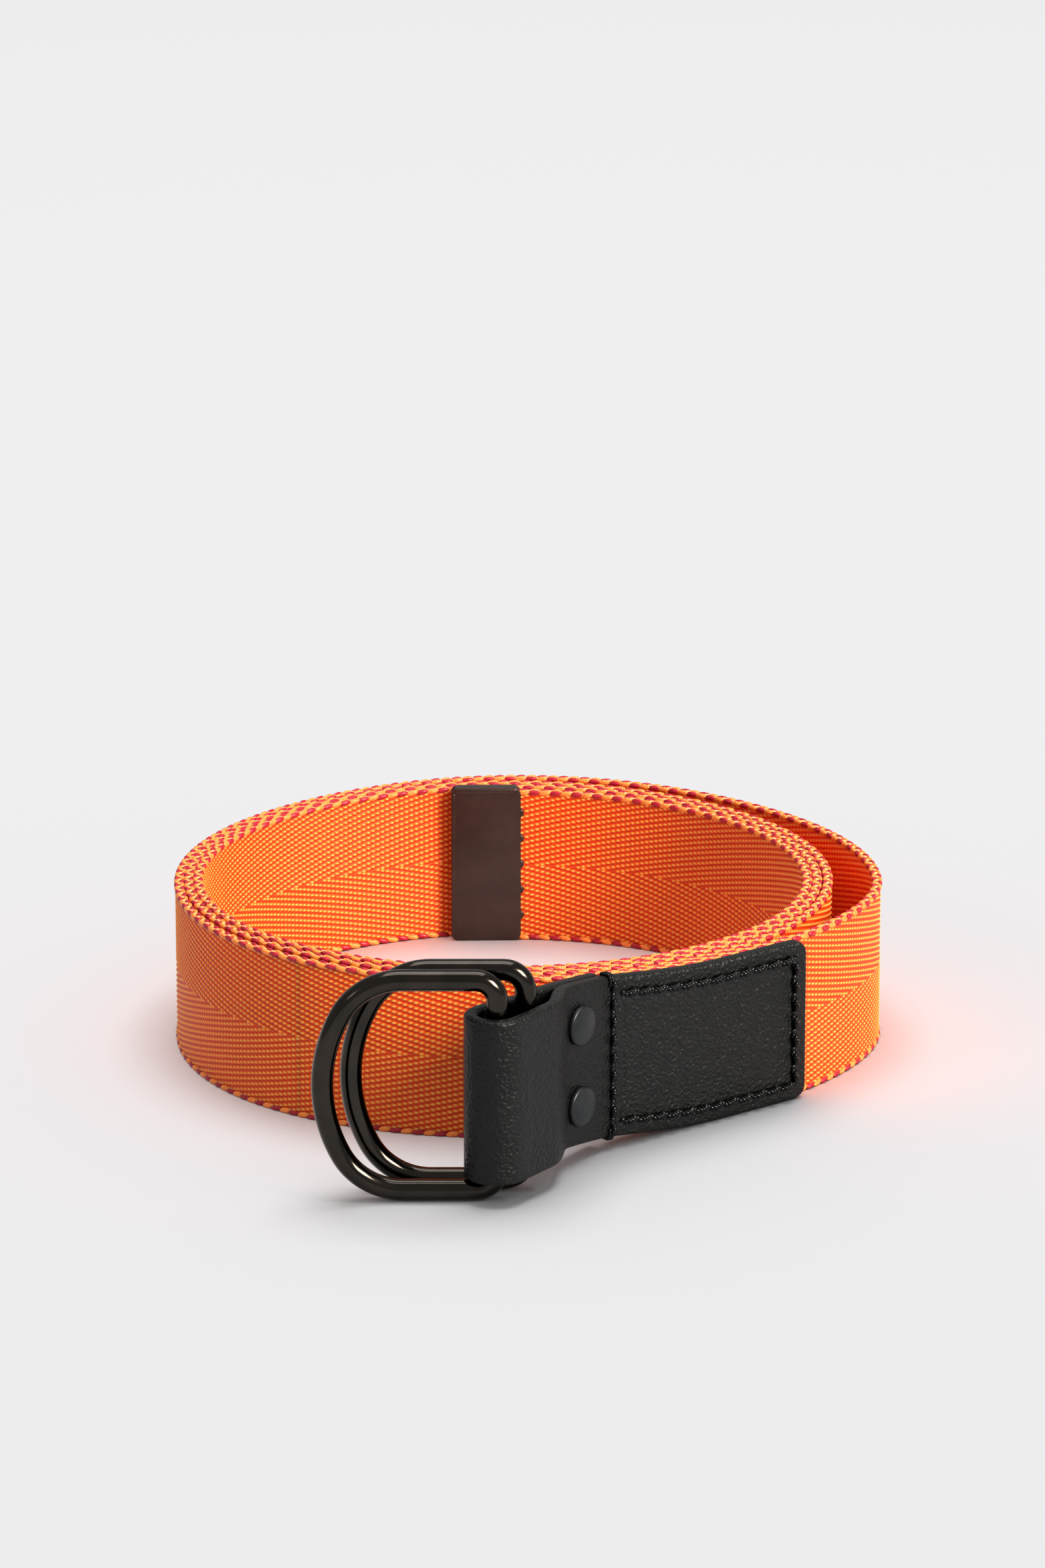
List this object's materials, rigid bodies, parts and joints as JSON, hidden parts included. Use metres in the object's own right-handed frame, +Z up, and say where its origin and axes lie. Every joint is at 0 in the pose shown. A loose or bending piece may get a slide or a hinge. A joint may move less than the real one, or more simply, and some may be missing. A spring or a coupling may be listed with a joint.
{
  "type": "coiled webbing belt",
  "caption": "Coiled woven webbing belt with D-rings held in a folded, riveted and sewn leather tab, and a folded metal clip on the free end.",
  "frame": {"origin": "on the surface it stands on, under the middle of the whole belt", "axes": "+Z up, -Y towards the fold of the leather tab, with the bows of both rings towards -X"},
  "size_m": [0.1387, 0.1715, 0.045],
  "materials": {
    "webbing": "herringbone weave, orange with burgundy selvedge floats",
    "leather": "smooth black with painted edges",
    "ring_metal": "polished black nickel",
    "rivet_metal": "satin black",
    "clip_metal": "satin gunmetal",
    "thread": "black waxed polyester"
  },
  "bodies": {
    "belt": {"webbing": "webbing", "tip_clip": "clip_metal", "leather_tab": "leather", "upper_rivet_cap": "rivet_metal", "lower_rivet_cap": "rivet_metal", "upper_rivet_post": "rivet_metal", "lower_rivet_post": "rivet_metal", "patch_needle_thread": "thread", "patch_bobbin_thread": "thread", "seam_needle_thread": "thread"},
    "front_ring": {"front_ring": "ring_metal"},
    "rear_ring": {"rear_ring": "ring_metal"}
  },
  "joints": [
    {"name": "front_ring_swing", "type": "hinge", "parent": "belt", "child": "front_ring", "pos_m": [-0.00575, -0.08018, 0.0225], "axis": [0, 0, 1], "range_deg": [0, 180]},
    {"name": "rear_ring_swing", "type": "hinge", "parent": "belt", "child": "rear_ring", "pos_m": [-0.00056, -0.07395, 0.0225], "axis": [0, 0, 1], "range_deg": [-42, 0]}
  ]
}
